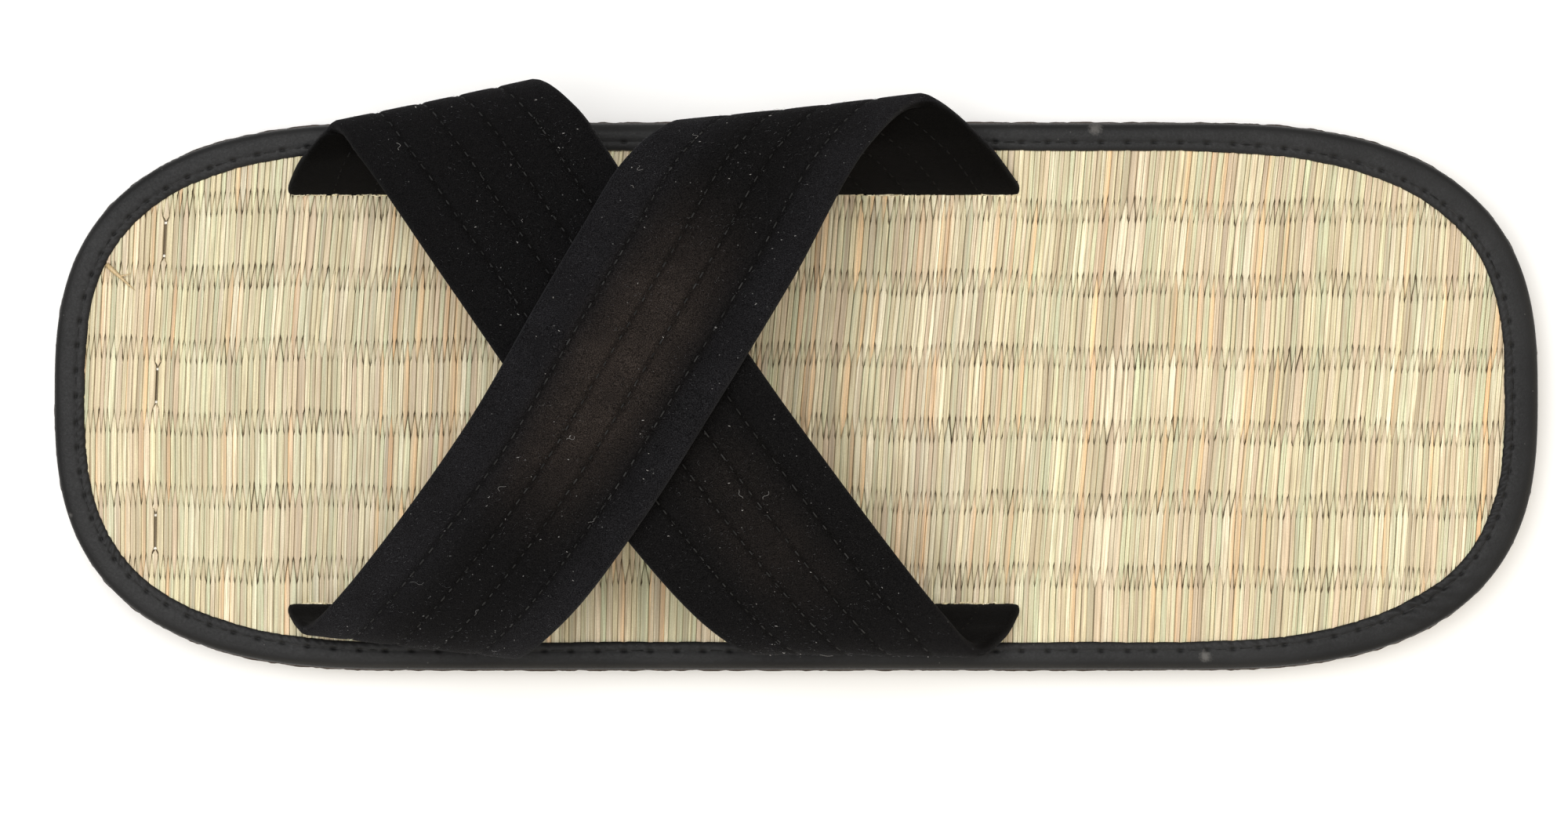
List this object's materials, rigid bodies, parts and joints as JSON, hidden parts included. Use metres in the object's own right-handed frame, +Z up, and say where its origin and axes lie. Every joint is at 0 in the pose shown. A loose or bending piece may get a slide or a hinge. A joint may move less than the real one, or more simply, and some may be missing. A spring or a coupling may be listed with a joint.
{
  "type": "zori sandal",
  "caption": "Flat zori sandal: woven rush footbed with a sewn tape edge on a rubber outsole, with crossed velvet straps over the instep.",
  "frame": {"origin": "on the ground, under the middle of the outsole", "axes": "+X to the toe, +Y to the wearer's left, +Z up"},
  "size_m": [0.28, 0.11, 0.0569],
  "materials": {
    "rubber": "dark brown-grey foam rubber with a rough cut edge",
    "rush": "dried rush strands, straw to pale green, low sheen",
    "tape": "black coated cloth, soft sheen",
    "velvet": "black velvet pile"
  },
  "bodies": {
    "root": {"outsole": "rubber", "insole_mat": "rush", "binding": "tape", "upper_straps": "velvet"}
  },
  "joints": []
}
